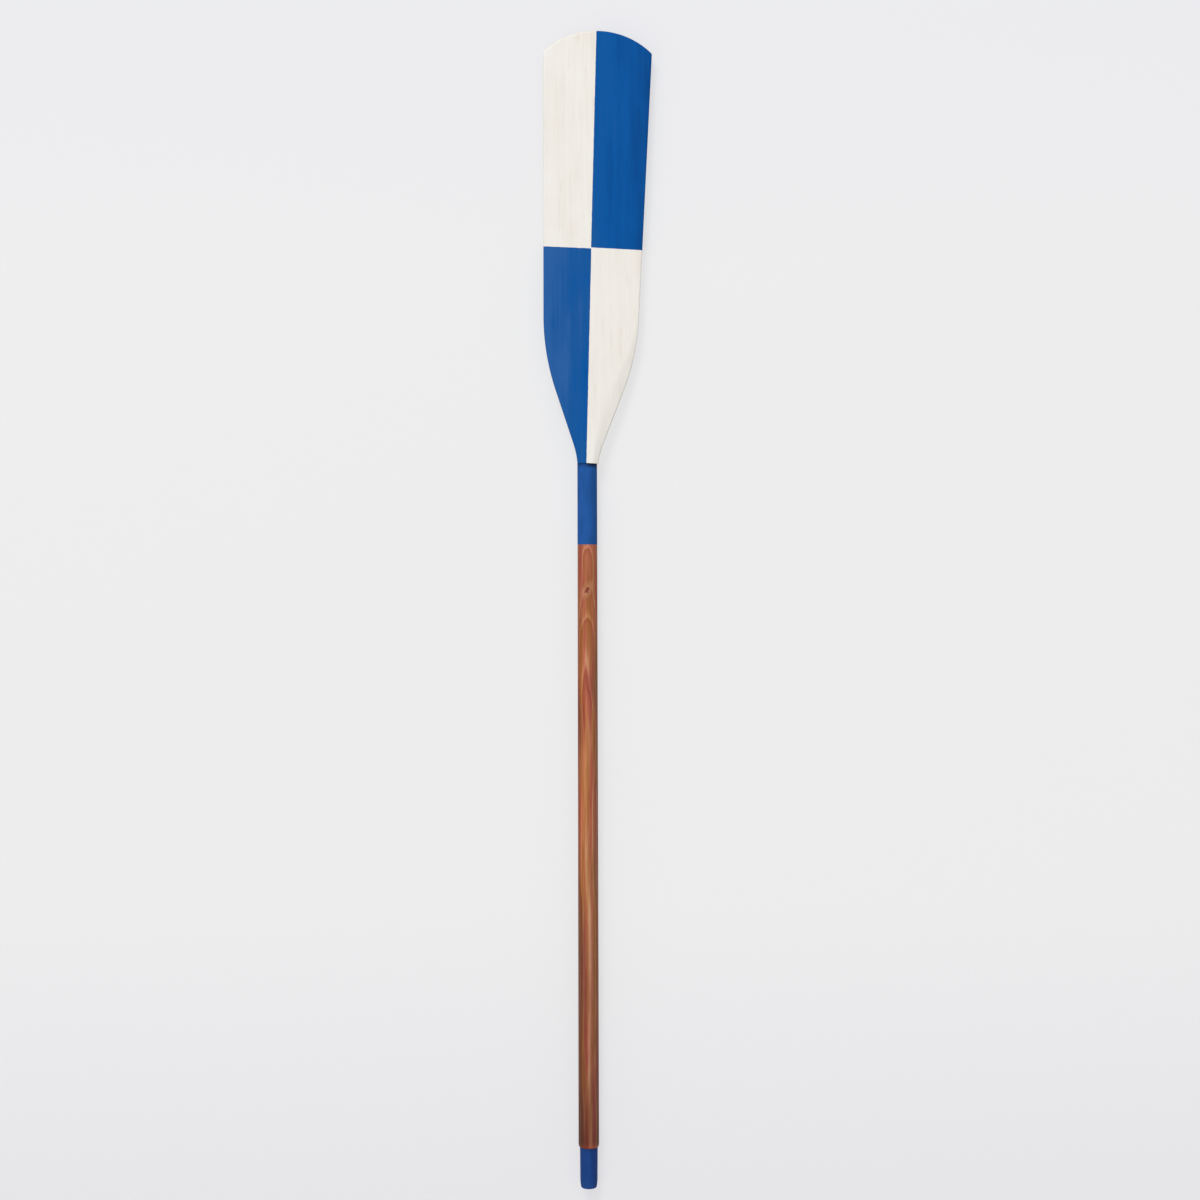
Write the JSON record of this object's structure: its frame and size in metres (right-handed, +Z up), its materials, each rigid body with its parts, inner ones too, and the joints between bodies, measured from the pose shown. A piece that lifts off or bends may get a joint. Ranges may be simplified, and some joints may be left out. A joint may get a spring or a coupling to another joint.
{
  "type": "oar",
  "caption": "Painted wooden oar: a flat flared blade in chequered quarters, a painted neck under a square shoulder, a round stained loom and a turned painted grip.",
  "frame": {"origin": "on the loom's axis at the blade's shoulder, where a wall fork holds the hanging oar", "axes": "+Z up the loom's axis from the grip to the blade, +X across the blade, -Y out of the painted face seen first"},
  "size_m": [0.1482, 0.0298, 1.574],
  "materials": {
    "stained_pine": "satin stain over pine grain",
    "white_paint": "matt off-white paint on pine",
    "blue_paint": "matt deep blue paint on pine",
    "beech": "bare wood"
  },
  "bodies": {
    "root": {"loom": "stained_pine", "blade_cheek_left": "white_paint", "blade_cheek_right": "blue_paint", "grip": "blue_paint", "blade_dowel_1": "beech", "blade_dowel_2": "beech", "blade_dowel_3": "beech", "blade_dowel_4": "beech"}
  },
  "joints": []
}
